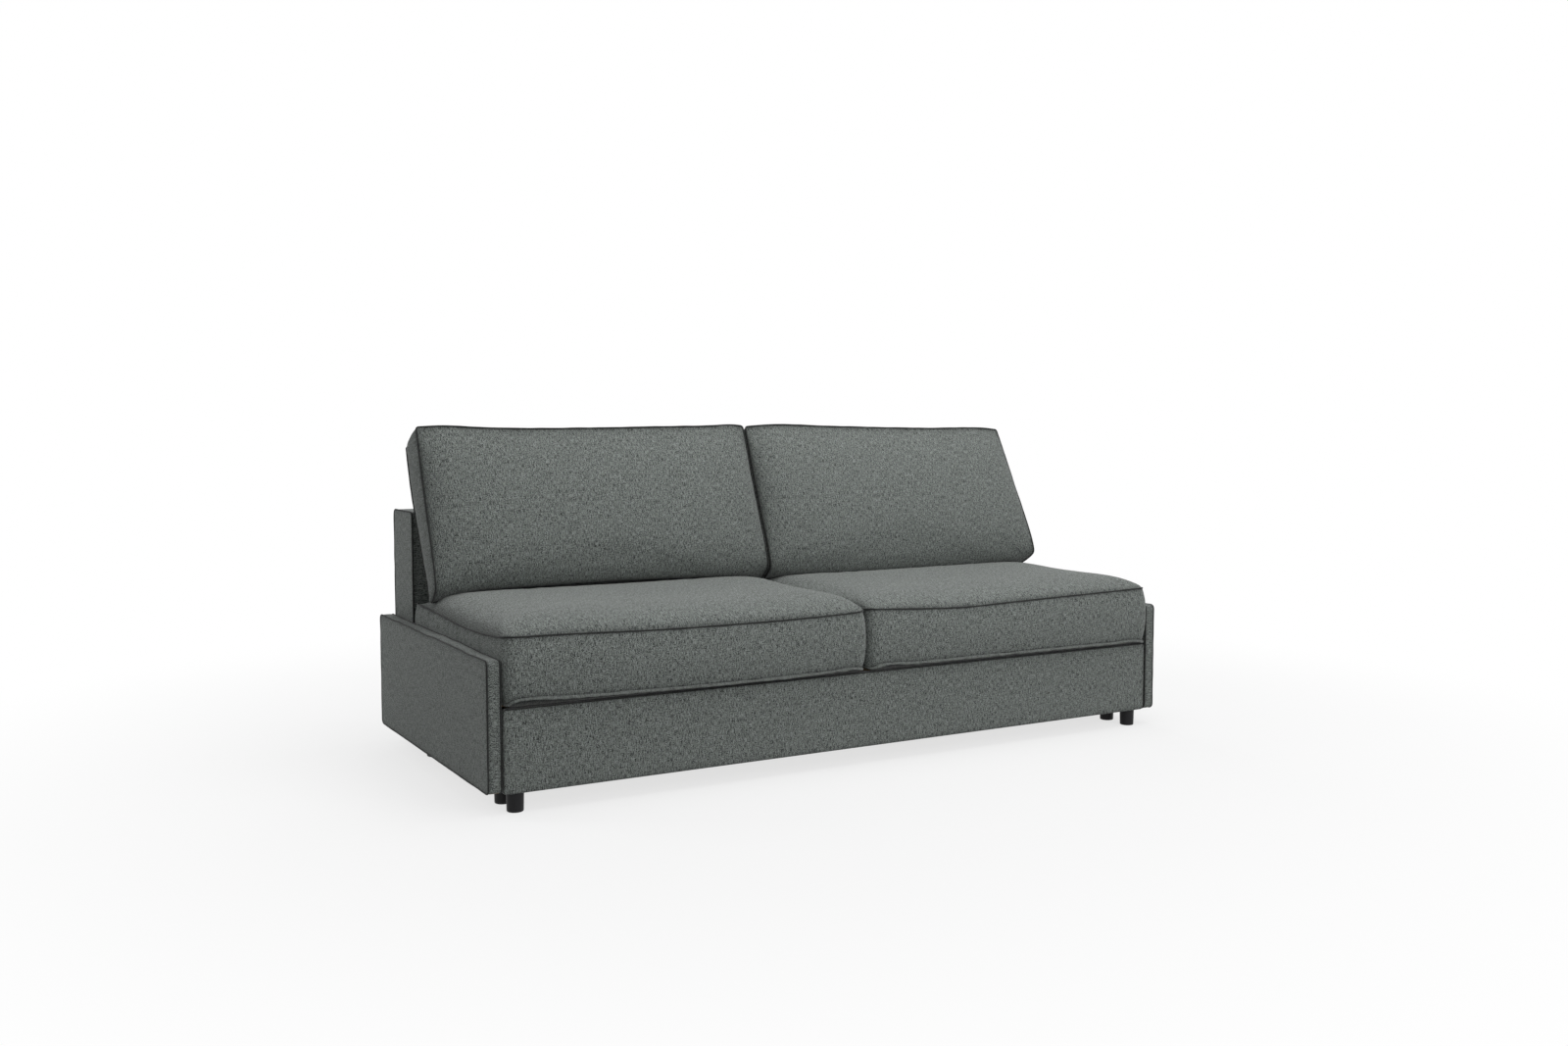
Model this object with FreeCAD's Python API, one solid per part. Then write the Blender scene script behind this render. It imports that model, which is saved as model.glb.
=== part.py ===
import FreeCAD, Part
import math
import os

# Armless two-seat sofa whose slatted seat base pulls out at the front.
# Millimetres. +X is the viewer's right when facing the sofa, the front looks along -Y, +Z is up.
# The origin lies on the floor, under the centre of the whole sofa.

# Overall sizes and the low upholstered side panels
overall_width = 1970.0
side_panel_depth = 886.0
side_panel_height = 299.0
side_panel_thickness = 30.0
ground_gap = 46.0
panel_edge_radius = 7.0

# Upholstery layers
cover_thickness = 1.6
wadding_thickness = 3.0
layer_gap = 0.3

# Clearances
seat_gap = 0.3
screw_gap = 0.15
shaft_gap = 0.08
cushion_rest_gap = 0.5

# Fixed seat base
rail_thickness = 25.0
rail_lift = 12.0
side_rail_height = 160.0
cross_rail_height = 120.0
rail_front_inset = 84.0
block_width = 50.0
slat_width = 78.0
slat_thickness = 18.0
slat_pitch_goal = 96.0
slat_side_gap = 26.7

# Feet
foot_radius = 20.0
foot_taper = 1.0
foot_edge_radius = 3.0
foot_side_inset = 40.0
front_foot_setback = 28.0
fixed_foot_setback = 110.0
rear_foot_inset = 65.0
stud_radius = 3.0
stud_length = 24.0

# Pull-out unit and its front panel
front_panel_thickness = 22.0
front_panel_side_gap = 5.0
front_panel_top_gap = 2.5
front_rail_height = 60.0
front_block_depth = 50.0
front_block_height = 80.0
front_rail_screw_step = 4
pull_slat_rear_gap = 20.0
pull_slat_overhang = 7.0
batten_depth = 30.0
batten_height = 40.0
batten_end_inset = 80.0

# Rollers and their steel runners
roller_radius = 14.0
roller_width = 12.0
roller_pin_radius = 4.0
roller_drop = 28.0
roller_edge_radius = 1.0
bracket_thickness = 3.0
bracket_height = 34.0
collar_length = 14.0
collar_radius = 6.0
rivet_head_thickness = 2.0
runner_wall = 2.0
runner_flange_height = 50.0
runner_lip_height = 6.0
runner_stop_height = 18.0
runner_stop_gap = 1.0
runner_front_gap = 50.0

# Back frame
back_frame_height = 580.0
back_frame_thickness = 172.0
back_frame_bottom = 50.0
back_frame_rear_inset = 6.0
back_frame_side_gap = 10.0
back_frame_edge_radius = 9.0
back_foam_front = 20.0
back_foam_top = 12.0
back_foam_side = 5.0
back_front_board = 5.0
back_rear_board = 3.0
frame_board = 25.0

# Seat cushions
seat_overhang = 20.0
seat_front_bulge = 12.0
seat_cushion_side_gap = 3.0
seat_cushion_centre_gap = 4.0
seat_cushion_rear_gap = 14.0
seat_bottom_seam = 14.0
seat_top_seam = 152.0
seat_crown_rise = 56.0
seat_rear_drop = 4.0
seat_rear_seam_drop = 6.0
seat_end_draw = 10.0
seat_shoulder_depth = 120.0
seat_front_turn = 42.0
seat_front_turn_share = 0.62
seat_shoulder_share = 0.82
cushion_cover_thickness = 2.0

# Back cushions
back_cushion_height = 442.0
back_cushion_thickness = 108.0
back_cushion_lean = 20.5
back_cushion_setback = 486.0
back_cushion_front_crown = 30.0
back_cushion_edge_bulge = 4.0
back_cushion_side_gap = 6.0
back_cushion_centre_gap = 10.0
back_cushion_end_draw = 6.0
back_rest_margin = 10.0
back_rest_slope_share = 0.65

# Ends of a cushion: distance from the end, share of the draw-in and share of the full crown
cushion_end_shares = [
    (0.0, 1.0, 0.1),
    (5.0, 0.6, 0.4),
    (16.0, 0.3, 0.62),
    (44.0, 0.1, 0.82),
    (100.0, 0.0, 0.94),
    (210.0, 0.0, 0.99),
]

# Bolts and screws
bolt_radius = 4.0
bolt_head_radius = 8.0
bolt_head_height = 5.0
bolt_grip = 12.0
back_bolt_grip = 30.0
screw_radius = 2.2
screw_head_radius = 4.2
screw_head_height = 3.0
slat_screw_length = 38.0
rail_screw_length = 70.0

# Bolts and screws sit at these shares of the rail they go through
side_bolt_places = (0.2, 0.8)
side_bolt_heights = (0.16, 0.44)
rail_screw_heights = (0.15, 0.6)
back_bolt_heights = (0.5, 0.75)

# Planes worked out from the sizes above
total_depth = seat_overhang + side_panel_depth
front_y = seat_overhang - total_depth / 2
rear_y = front_y + side_panel_depth
inner_x = overall_width / 2 - side_panel_thickness
side_panel_top = ground_gap + side_panel_height
rail_bottom = ground_gap + rail_lift
rail_top = rail_bottom + side_rail_height
side_rail_out = inner_x - seat_gap
side_rail_in = side_rail_out - rail_thickness
cross_rail_bottom = rail_top - cross_rail_height
back_rear_y = rear_y - back_frame_rear_inset
back_front_y = back_rear_y - back_frame_thickness
back_top = back_frame_bottom + back_frame_height
back_half_width = inner_x - back_frame_side_gap
rear_rail_rear = back_front_y - seat_gap
rear_rail_front = rear_rail_rear - rail_thickness
fixed_foot_y = front_y + fixed_foot_setback
front_cross_front = fixed_foot_y - rail_thickness / 2
front_cross_rear = fixed_foot_y + rail_thickness / 2
fixed_slat_bottom = rail_top
pull_slat_bottom = rail_top + seat_gap
pull_slat_top = pull_slat_bottom + slat_thickness
cushion_bottom = pull_slat_top + seat_gap
slat_row_half = side_rail_in - slat_side_gap
slat_row_run = slat_row_half - slat_width / 2
pull_slat_count = round(slat_row_run / slat_pitch_goal) + 1
slat_pitch = slat_row_run / (pull_slat_count - 1)
foot_x = inner_x - foot_side_inset
front_foot_y = front_y + front_foot_setback
rear_foot_y = rear_rail_rear - rear_foot_inset
front_panel_rear = front_y + front_panel_thickness
front_panel_half = inner_x - front_panel_side_gap
front_panel_top = cushion_bottom - front_panel_top_gap
unit_front = front_panel_rear + seat_gap
batten_top = rail_top - seat_gap
pull_slat_rear = rear_rail_front - pull_slat_rear_gap
batten_rear = pull_slat_rear - pull_slat_overhang
batten_front = batten_rear - batten_depth
batten_half = inner_x - batten_end_inset
roller_y = (batten_front + batten_rear) / 2
roller_z = batten_top - roller_drop
roller_x = batten_half + bracket_thickness + collar_length + seat_gap
runner_top = roller_z - roller_radius - seat_gap
runner_front = front_cross_rear + runner_front_gap
runner_end = roller_radius + runner_stop_gap + runner_wall
pull_travel = roller_y - runner_end - runner_front


def box(low, high):
    """An upright block between two opposite corners."""
    size = [b - a for a, b in zip(low, high)]
    return Part.makeBox(size[0], size[1], size[2], FreeCAD.Vector(*low))


def rounded_box(low, high, radius):
    """The same block with all twelve edges rounded."""
    block = box(low, high)
    limit = 0.49 * min(b - a for a, b in zip(low, high))
    return block.makeFillet(min(radius, limit), block.Edges)


def inset(low, high, amounts):
    """Move the six faces of a block inwards: x low, x high, y low, y high, z low, z high."""
    new_low = [low[i] + amounts[2 * i] for i in range(3)]
    new_high = [high[i] - amounts[2 * i + 1] for i in range(3)]
    return new_low, new_high


def rod(start, direction, radius, length):
    """A round bar from a start point along a direction."""
    return Part.makeCylinder(radius, length, FreeCAD.Vector(*start), FreeCAD.Vector(*direction))


def mirrored(shape):
    """The same piece on the other side of the sofa."""
    return shape.mirror(FreeCAD.Vector(0, 0, 0), FreeCAD.Vector(1, 0, 0))


def cut_all(shape, tools):
    """Take every tool out of the shape."""
    return shape.cut(tools) if tools else shape


def save(name, shape):
    """Write one sub-part, a solid or a group of separate solids."""
    shape.exportStep(os.path.join("parts", name + ".step"))


def save_pair(name, shape):
    """Write a right-hand piece and its mirrored left-hand twin."""
    save(name + "_right", shape)
    save(name + "_left", mirrored(shape))


def fastener(start, direction, radius, length, head_radius, head_height, gap=0.0):
    """Head then shank, starting at the outer end of the head; gap widens it into a hole."""
    shank_start = [s + d * head_height for s, d in zip(start, direction)]
    head = rod(start, direction, head_radius + gap, head_height)
    return head.fuse(rod(shank_start, direction, radius + gap, length - head_height + gap))


def bolt(start, direction, length, gap=0.0):
    """Machine bolt with its head standing in front of what it holds."""
    return fastener(start, direction, bolt_radius, length, bolt_head_radius, bolt_head_height, gap)


def screw(start, direction, length, gap=0.0):
    """Wood screw with a flat head let in flush."""
    return fastener(start, direction, screw_radius, length, screw_head_radius, screw_head_height, gap)


# Side panels: a board wrapped in wadding and a sewn cover, bolted to the side rails

def side_panel_layers():
    """Cover, wadding and board of the right-hand side panel, with their bolt holes."""
    low = [inner_x, front_y, ground_gap]
    high = [inner_x + side_panel_thickness, rear_y, side_panel_top]
    to_wadding = cover_thickness + layer_gap
    to_board = to_wadding + wadding_thickness + layer_gap
    outer = rounded_box(low, high, panel_edge_radius)
    lining = rounded_box(*inset(low, high, [cover_thickness] * 6), panel_edge_radius - cover_thickness)
    wadding = rounded_box(*inset(low, high, [to_wadding] * 6), panel_edge_radius - to_wadding)
    hollow = box(*inset(low, high, [to_board - layer_gap] * 6))
    board = box(*inset(low, high, [to_board] * 6))
    holes = side_bolts(screw_gap)
    return [cut_all(outer.cut(lining), holes), cut_all(wadding.cut(hollow), holes), cut_all(board, holes)]


def side_bolts(gap=0.0):
    """Bolts from inside the right-hand side rail into the panel's board."""
    to_board = cover_thickness + wadding_thickness + 2 * layer_gap
    length = bolt_head_height + rail_thickness + seat_gap + to_board + bolt_grip
    start_x = side_rail_in - bolt_head_height
    span = rear_rail_front - front_cross_rear
    places = [front_cross_rear + span * share for share in side_bolt_places]
    heights = [rail_bottom + side_rail_height * share for share in side_bolt_heights]
    return [bolt([start_x, y, z], [1, 0, 0], length, gap) for y in places for z in heights]


# Fixed seat base: two side rails, two cross rails, corner blocks, slats and feet

def side_rail():
    """Right-hand side rail, drilled for the panel bolts and the cross rail screws."""
    low = [side_rail_in, front_y + rail_front_inset, rail_bottom]
    high = [side_rail_out, rear_rail_rear, rail_top]
    return cut_all(box(low, high), side_bolts(screw_gap) + rail_screws(screw_gap))


def rail_screws(gap=0.0):
    """Screws through the right-hand side rail into the ends of the cross rails."""
    places = [fixed_foot_y, (rear_rail_front + rear_rail_rear) / 2]
    heights = [cross_rail_bottom + cross_rail_height * share for share in rail_screw_heights]
    start_x = side_rail_out
    return [screw([start_x, y, z], [-1, 0, 0], rail_screw_length, gap) for y in places for z in heights]


def both_sides(shapes):
    """The right-hand shapes and their mirrored twins."""
    return shapes + [mirrored(shape) for shape in shapes]


def cross_rail(y_low, y_high, holes):
    """A rail from side rail to side rail."""
    low = [-side_rail_in, y_low, cross_rail_bottom]
    high = [side_rail_in, y_high, rail_top]
    return cut_all(box(low, high), holes)


def corner_block(y_low, y_high, foot_y):
    """Right-hand block between foot and cross rail, drilled for the foot's stud."""
    low = [side_rail_in - block_width, y_low, rail_bottom]
    high = [side_rail_in, y_high, cross_rail_bottom]
    return box(low, high).cut(stud_hole(foot_x, foot_y, rail_bottom))


def centre_block():
    """Block under the middle of the rear cross rail."""
    low = [-block_width / 2, rear_rail_rear - block_width, rail_bottom]
    high = [block_width / 2, rear_rail_rear, cross_rail_bottom]
    return box(low, high).cut(stud_hole(0, rear_rail_rear - block_width / 2, rail_bottom))


def stud_hole(x, y, z):
    """Hole for a foot's threaded stud."""
    return rod([x, y, z], [0, 0, 1], stud_radius + screw_gap, stud_length + screw_gap)


def foot(x, y, height):
    """Turned plastic foot, narrower and rounded at the floor, with its moulded-in stud."""
    low_radius = foot_radius - foot_taper
    edge = foot_edge_radius
    lean = edge * (1 - math.sqrt(0.5))
    start = FreeCAD.Vector(0, 0, 0)
    flat_end = FreeCAD.Vector(low_radius - edge, 0, 0)
    middle = FreeCAD.Vector(low_radius - lean, 0, lean)
    side_start = FreeCAD.Vector(low_radius, 0, edge)
    side_end = FreeCAD.Vector(foot_radius, 0, height)
    top = FreeCAD.Vector(0, 0, height)
    edges = [
        Part.LineSegment(start, flat_end).toShape(),
        Part.Arc(flat_end, middle, side_start).toShape(),
        Part.LineSegment(side_start, side_end).toShape(),
        Part.LineSegment(side_end, top).toShape(),
        Part.LineSegment(top, start).toShape(),
    ]
    profile = Part.Face(Part.Wire(edges))
    body = profile.revolve(FreeCAD.Vector(0, 0, 0), FreeCAD.Vector(0, 0, 1), 360)
    body = body.fuse(rod([0, 0, height - edge], [0, 0, 1], stud_radius, stud_length + edge))
    body.translate(FreeCAD.Vector(x, y, 0))
    return body


# Slats: pull-out slats and fixed slats lie side by side and slide between each other

def slat_places(count, pitch):
    """Centres of a row of slats, even about the middle."""
    first = -pitch * (count - 1) / 2
    return [first + pitch * index for index in range(count)]


def slat_rows():
    """Centres of the pull-out slats and of the fixed slats between them."""
    every = slat_places(2 * pull_slat_count - 1, slat_pitch)
    return every[0::2], every[1::2]


def slats(places, y_low, y_high, bottom, holes):
    """One row of slats as separate boards."""
    boards = []
    for place in places:
        low = [place - slat_width / 2, y_low, bottom]
        high = [place + slat_width / 2, y_high, bottom + slat_thickness]
        boards.append(cut_all(box(low, high), holes))
    return Part.makeCompound(boards)


def slat_screws(places, lines, top, gap=0.0):
    """One screw down through each slat at each line across the sofa."""
    return [screw([x, y, top], [0, 0, -1], slat_screw_length, gap) for x in places for y in lines]


# Pull-out unit: front panel, slat rail, rear batten, blocks and feet that slide as one

def front_panel_layers():
    """Cover, wadding and board of the front panel, drilled for the slat rail's screws."""
    low = [-front_panel_half, front_y, ground_gap]
    high = [front_panel_half, front_panel_rear, front_panel_top]
    to_wadding = cover_thickness + layer_gap
    to_board = to_wadding + wadding_thickness + layer_gap
    rear_lining = cover_thickness + layer_gap
    to_edge = max(to_board, panel_edge_radius)
    outer = rounded_box(low, high, panel_edge_radius)
    lining = rounded_box(*inset(low, high, [cover_thickness] * 6), panel_edge_radius - cover_thickness)
    wadding = rounded_box(*inset(low, high, [to_wadding] * 6), panel_edge_radius - to_wadding)
    sides = [to_edge, to_edge, to_board, rear_lining, to_edge, to_edge]
    hollow = box(*inset(low, high, [side - layer_gap for side in sides]))
    board = box(*inset(low, high, sides))
    holes = front_rail_screws(screw_gap)
    return [cut_all(outer.cut(lining), holes), cut_all(wadding.cut(hollow), holes), cut_all(board, holes)]


def front_rail_screws(gap=0.0):
    """Screws through the slat rail into the front panel's board."""
    start_y = unit_front + rail_thickness
    z = rail_top - front_rail_height / 2
    length = rail_thickness + front_panel_thickness / 2
    places = slat_places(pull_slat_count // 2, front_rail_screw_step * slat_pitch)
    return [screw([x, start_y, z], [0, -1, 0], length, gap) for x in places]


def front_rail(holes):
    """Rail behind the front panel that carries the pull-out slats."""
    low = [-slat_row_half, unit_front, rail_top - front_rail_height]
    high = [slat_row_half, unit_front + rail_thickness, pull_slat_bottom]
    return cut_all(box(low, high), holes)


def front_block():
    """Right-hand block behind the front panel, over the front foot."""
    half = block_width / 2
    low = [foot_x - half, unit_front, ground_gap]
    high = [foot_x + half, unit_front + front_block_depth, ground_gap + front_block_height]
    return box(low, high).cut(stud_hole(foot_x, front_foot_y, ground_gap))


def rear_batten(holes):
    """Batten that ties the pull-out slats together under the fixed slats."""
    low = [-batten_half, batten_front, batten_top - batten_height]
    high = [batten_half, batten_rear, batten_top]
    return cut_all(box(low, high), holes)


def roller_bracket():
    """Steel plate on the batten's right-hand end with its riveted roller pin."""
    x = batten_half
    plate_low = [x, batten_front, batten_top - bracket_height]
    plate = box(plate_low, [x + bracket_thickness, batten_rear, batten_top])
    collar = rod([x, roller_y, roller_z], [1, 0, 0], collar_radius, bracket_thickness + collar_length)
    pin_length = roller_x + roller_width + seat_gap + rivet_head_thickness - x
    pin = rod([x, roller_y, roller_z], [1, 0, 0], roller_pin_radius, pin_length)
    head_x = roller_x + roller_width + seat_gap
    head = rod([head_x, roller_y, roller_z], [1, 0, 0], collar_radius, rivet_head_thickness)
    return plate.fuse([collar, pin, head]).removeSplitter()


def roller():
    """Nylon roller on the right-hand pin, with broken edges."""
    start = [roller_x, roller_y, roller_z]
    wheel = rod(start, [1, 0, 0], roller_radius, roller_width)
    rims = [edge for edge in wheel.Edges if isinstance(edge.Curve, Part.Circle)]
    wheel = wheel.makeFillet(roller_edge_radius, rims)
    return wheel.cut(rod(start, [1, 0, 0], roller_pin_radius + shaft_gap, roller_width))


def runner():
    """Folded steel runner on the right-hand side rail, with a stop at each end."""
    out = side_rail_in
    lip = batten_half + bracket_thickness + collar_length - runner_wall
    low_y = runner_front
    high_y = roller_y + runner_end
    bottom = runner_top - runner_wall
    flange = box([out - runner_wall, low_y, bottom - runner_flange_height / 2],
                 [out, high_y, bottom + runner_flange_height / 2])
    ledge = box([lip, low_y, bottom], [out, high_y, runner_top])
    edge = box([lip, low_y, bottom], [lip + runner_wall, high_y, runner_top + runner_lip_height])
    stops = []
    for y in (low_y, high_y - runner_wall):
        stops.append(box([lip, y, bottom], [out, y + runner_wall, runner_top + runner_stop_height]))
    return flange.fuse([ledge, edge] + stops).removeSplitter()


# Back frame: a box of boards with foam in front, closed by a sewn cover

def back_bolts(gap=0.0):
    """Bolts through the rear cross rail into the back frame's three uprights."""
    depth = cover_thickness + back_foam_front + back_front_board + 2 * layer_gap
    length = bolt_head_height + rail_thickness + seat_gap + depth + back_bolt_grip
    start_y = rear_rail_front - bolt_head_height
    heights = [cross_rail_bottom + cross_rail_height * share for share in back_bolt_heights]
    side = back_upright_x()
    return [bolt([x, start_y, z], [0, 1, 0], length, gap) for x in (-side, 0, side) for z in heights]


def back_upright_x():
    """Centre of the right-hand upright, in reach of the rear cross rail's end."""
    half = back_half_width - cover_thickness - layer_gap - back_foam_side - layer_gap
    return min(half - frame_board / 2, side_rail_in - bolt_head_radius - seat_gap)


def back_box():
    """Inner box of the back frame that the boards fill."""
    side = cover_thickness + layer_gap + back_foam_side + layer_gap
    low = [-back_half_width, back_front_y, back_frame_bottom]
    high = [back_half_width, back_rear_y, back_top]
    front = cover_thickness + layer_gap + back_foam_front + layer_gap
    rear = cover_thickness + layer_gap + wadding_thickness + layer_gap
    bottom = cover_thickness + layer_gap + wadding_thickness + layer_gap
    top = cover_thickness + layer_gap + back_foam_top + layer_gap
    return inset(low, high, [side, side, front, rear, bottom, top])


def back_boards():
    """Front board, rear board, two rails and three uprights of the back frame."""
    low, high = back_box()
    frame_front = low[1] + back_front_board
    frame_rear = high[1] - back_rear_board
    holes = back_bolts(screw_gap)
    boards = {}
    boards["back_front_board"] = cut_all(box(low, [high[0], frame_front, high[2]]), holes)
    boards["back_rear_board"] = box([low[0], frame_rear, low[2]], high)
    lower = low[2] + frame_board
    upper = high[2] - frame_board
    boards["back_bottom_rail"] = box([low[0], frame_front, low[2]], [high[0], frame_rear, lower])
    boards["back_top_rail"] = box([low[0], frame_front, upper], [high[0], frame_rear, high[2]])
    side = back_upright_x()
    half = frame_board / 2
    for name, x in (("left", -side), ("middle", 0.0), ("right", side)):
        upright = box([x - half, frame_front, lower], [x + half, frame_rear, upper])
        boards["back_upright_" + name] = cut_all(upright, holes)
    return boards


def back_upholstery():
    """Cover and padding of the back frame."""
    low = [-back_half_width, back_front_y, back_frame_bottom]
    high = [back_half_width, back_rear_y, back_top]
    to_padding = cover_thickness + layer_gap
    outer = rounded_box(low, high, back_frame_edge_radius)
    lining = rounded_box(*inset(low, high, [cover_thickness] * 6), back_frame_edge_radius - cover_thickness)
    padding = rounded_box(*inset(low, high, [to_padding] * 6), back_frame_edge_radius - to_padding)
    hollow = box(*inset(*back_box(), [-layer_gap] * 6))
    holes = back_bolts(screw_gap)
    return cut_all(outer.cut(lining), holes), cut_all(padding.cut(hollow), holes)


# Cushions: closed forms lofted through upright sections from end to end

def arc(start, middle, end):
    """Arc through three points of one section."""
    return Part.Arc(start, middle, end).toShape()


def line(start, end):
    """Straight edge of one section."""
    return Part.LineSegment(start, end).toShape()


def bulged(start, end, height):
    """Arc between two points that stands out to the left of their direction by a height."""
    along = end - start
    out = FreeCAD.Vector(0, -along.z, along.y)
    out.normalize()
    return arc(start, (start + end) * 0.5 + out * height, end)


def cushion_stations(x_low, x_high):
    """Places of the sections along a cushion, each with its draw-in share and its crown share."""
    near = [(x_low + place, draw, crown) for place, draw, crown in cushion_end_shares]
    far = [(x_high - place, draw, crown) for place, draw, crown in reversed(cushion_end_shares)]
    return near + [((x_low + x_high) / 2, 0.0, 1.0)] + far


def rest_line():
    """Slope on top of the seat cushions where the back cushions stand: start, end and slope."""
    start_y = front_y + back_cushion_setback - back_rest_margin
    end_y = start_y + back_cushion_thickness + 2 * back_rest_margin
    start_z = cushion_bottom + seat_top_seam + seat_crown_rise - seat_rear_drop
    slope = -math.tan(math.radians(back_cushion_lean) * back_rest_slope_share)
    return start_y, end_y, start_z, slope


def seat_section(x, share, swell, skin):
    """Upright section of a seat cushion, drawn in at its ends; skin moves it inwards all round."""
    draw = seat_end_draw * share + skin
    start_y, end_y, start_z, slope = rest_line()
    front = front_y - (seat_overhang - seat_front_bulge) + draw
    rear = back_front_y - seat_cushion_rear_gap - draw
    bottom = cushion_bottom + skin
    low_seam = cushion_bottom + seat_bottom_seam
    seam = cushion_bottom + seat_top_seam - skin
    rear_seam = seam - seat_rear_seam_drop
    rise = seat_crown_rise * swell
    lip = low_seam - bottom
    turn = lip * (1 - math.sqrt(0.5))
    turn_y = front + seat_front_turn
    turn_z = seam + seat_front_turn_share * rise
    shoulder_y = front + seat_shoulder_depth
    shoulder_z = seam + seat_shoulder_share * rise
    rest_z = start_z - skin - (seat_crown_rise - rise)
    end_z = max(rest_z + slope * (end_y - start_y), rear_seam)

    def at(y, z):
        return FreeCAD.Vector(x, y, z)

    edges = [
        line(at(rear, bottom), at(front + lip, bottom)),
        arc(at(front + lip, bottom), at(front + turn, bottom + turn), at(front, low_seam)),
        bulged(at(front, low_seam), at(front, seam), seat_front_bulge * swell),
        arc(at(front, seam), at(turn_y, turn_z), at(shoulder_y, shoulder_z)),
        arc(at(shoulder_y, shoulder_z), at((shoulder_y + start_y) / 2, seam + rise), at(start_y, rest_z)),
        line(at(start_y, rest_z), at(end_y, end_z)),
        line(at(end_y, end_z), at(rear, rear_seam)),
        line(at(rear, rear_seam), at(rear, bottom)),
    ]
    return Part.Wire(edges)


def back_section(x, share, swell, skin):
    """Leaning section of a back cushion, standing on the seat and against the back frame."""
    start_y, _, start_z, slope = rest_line()
    angle = math.radians(back_cushion_lean)
    up = FreeCAD.Vector(0, math.sin(angle), math.cos(angle))
    back = FreeCAD.Vector(0, math.cos(angle), -math.sin(angle))
    rest = FreeCAD.Vector(0, 1, slope)
    rest.normalize()
    lift = FreeCAD.Vector(0, -rest.z, rest.y)
    foot_y = front_y + back_cushion_setback
    corner = FreeCAD.Vector(x, foot_y, start_z + slope * (foot_y - start_y)) + lift * cushion_rest_gap
    draw = back_cushion_end_draw * share + skin
    front_low = corner + back * draw + lift * draw
    front_high = front_low + up * (back_cushion_height - 2 * draw)
    rear_high = front_high + back * (back_cushion_thickness - 2 * draw)
    run = (back_cushion_thickness - 2 * draw) / rest.dot(back)
    rear_low = front_low + rest * run
    rear_crown = back_rear_crown()
    edges = [
        bulged(front_low, front_high, back_cushion_front_crown * swell),
        bulged(front_high, rear_high, back_cushion_edge_bulge * swell),
        bulged(rear_high, rear_low, rear_crown * swell),
        line(rear_low, front_low),
    ]
    return Part.Wire(edges)


def back_rear_crown():
    """How far the rear of a back cushion stands out to meet the back frame's rounded top edge."""
    start_y, _, start_z, slope = rest_line()
    angle = math.radians(back_cushion_lean)
    foot_y = front_y + back_cushion_setback
    foot_z = start_z + slope * (foot_y - start_y)
    rear_y_low = foot_y + back_cushion_thickness * math.cos(angle)
    rear_z_low = foot_z - back_cushion_thickness * math.sin(angle)
    edge_y = back_front_y + back_frame_edge_radius
    edge_z = back_top - back_frame_edge_radius
    away = (edge_y - rear_y_low) * math.cos(angle) - (edge_z - rear_z_low) * math.sin(angle)
    return away - back_frame_edge_radius - cushion_rest_gap


def cushion(section, x_low, x_high, skin):
    """Closed cushion form through its sections."""
    low, high = x_low + skin, x_high - skin
    wires = [section(x, share, swell, skin) for x, share, swell in cushion_stations(low, high)]
    return Part.makeLoft(wires, True, True)


def save_cushion(name, section, x_low, x_high):
    """Write the sewn covers and the foam cores of a left and right cushion."""
    outer = cushion(section, x_low, x_high, 0.0)
    lining = cushion(section, x_low, x_high, cushion_cover_thickness)
    core = cushion(section, x_low, x_high, cushion_cover_thickness + layer_gap)
    save_pair(name + "_cover", outer.cut(lining))
    save_pair(name + "_core", core)


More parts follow.
